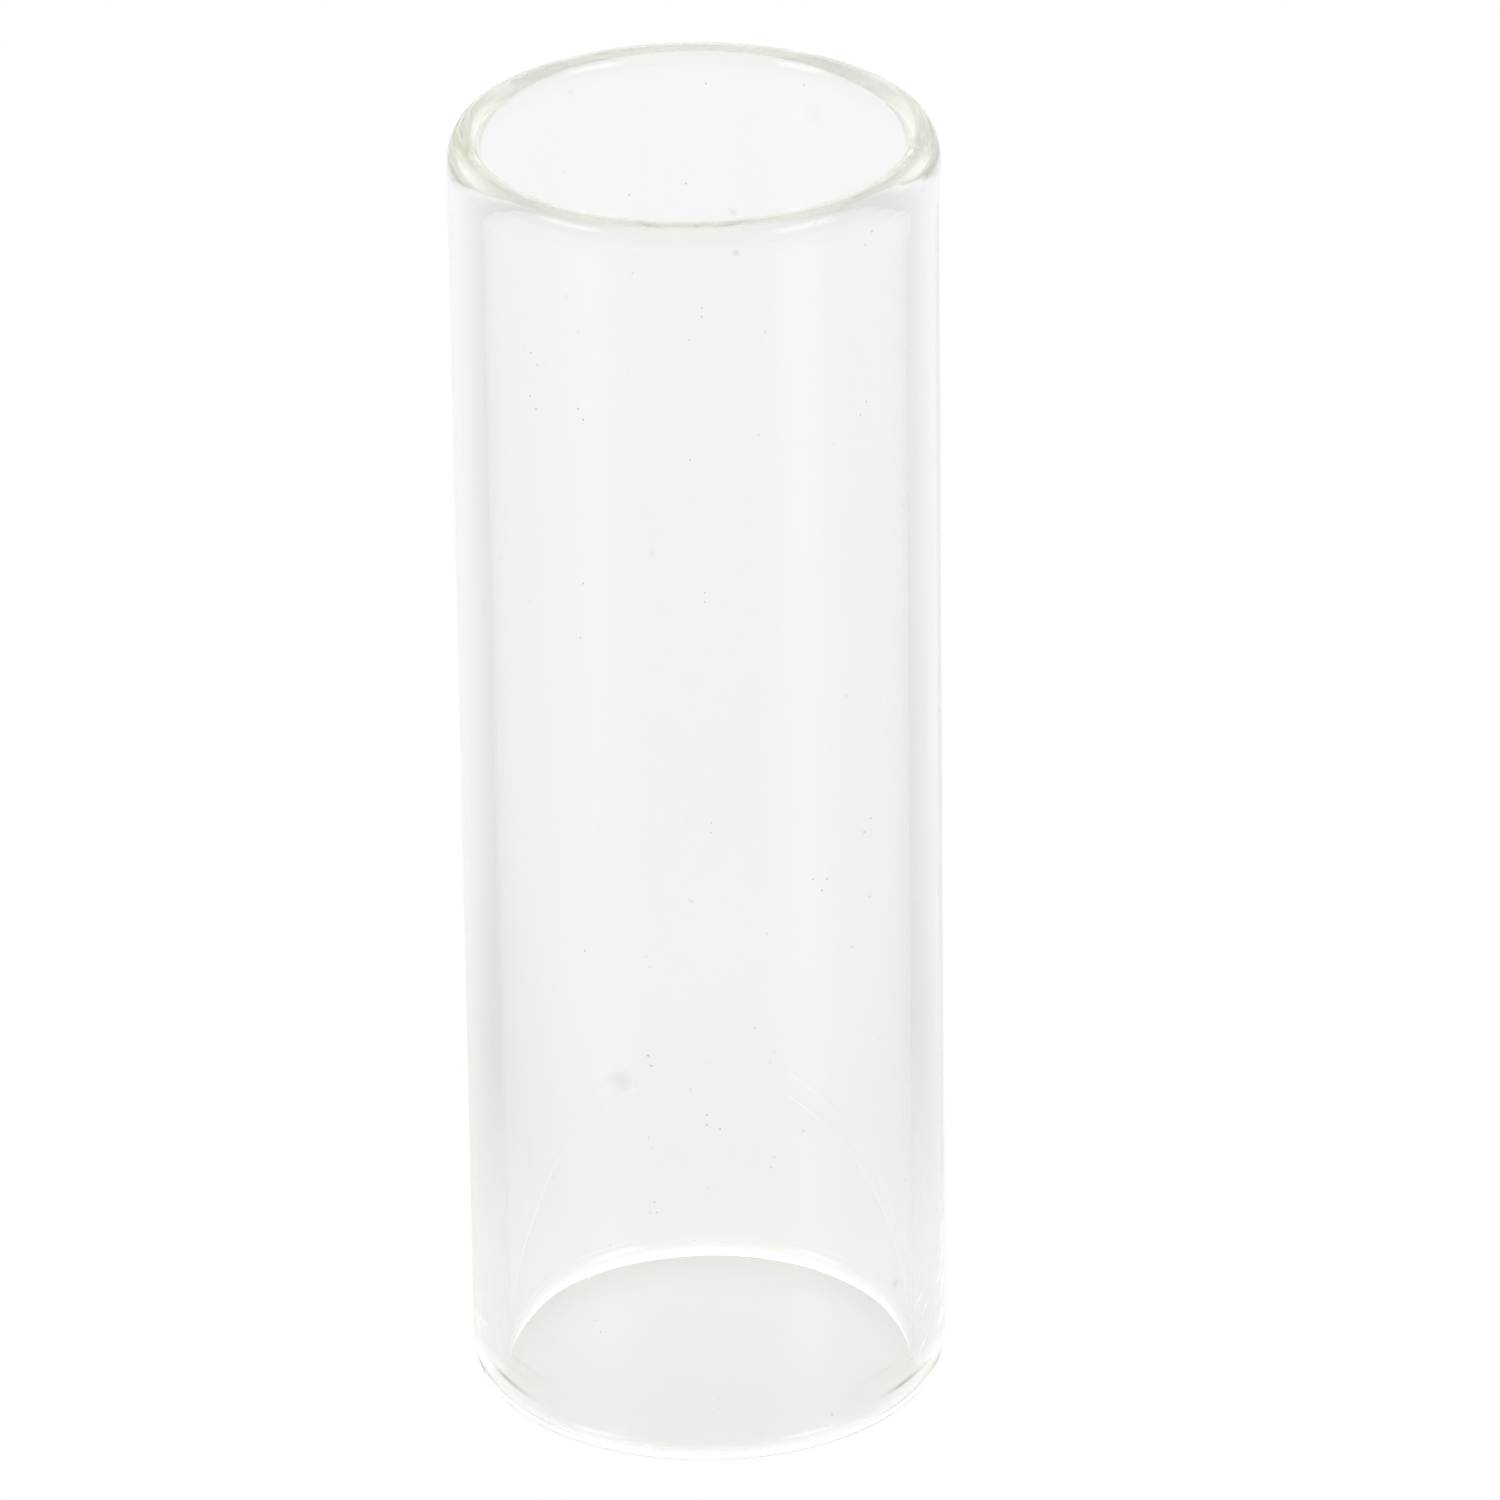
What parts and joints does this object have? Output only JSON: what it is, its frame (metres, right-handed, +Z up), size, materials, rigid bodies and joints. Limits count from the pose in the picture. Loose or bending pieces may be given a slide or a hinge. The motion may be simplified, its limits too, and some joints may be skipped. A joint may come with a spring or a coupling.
{
  "type": "guitar slide",
  "caption": "Clear glass guitar slide: a straight tube, open at both ends with flame-rounded rims, worn over a finger to glide on the strings.",
  "frame": {"origin": "centre of the bore in the plane of the lower rim, on the surface the slide stands on", "axes": "+Z up along the bore from the lower rim to the upper rim; X and Y are free, because the tube is round"},
  "size_m": [0.025, 0.025, 0.0705],
  "materials": {
    "clear_glass": "clear drawn tube with a smooth gloss, faint yellow-green tint seen edge-on at the fire-polished rims"
  },
  "bodies": {
    "root": {"glass_tube": "clear_glass"}
  },
  "joints": []
}
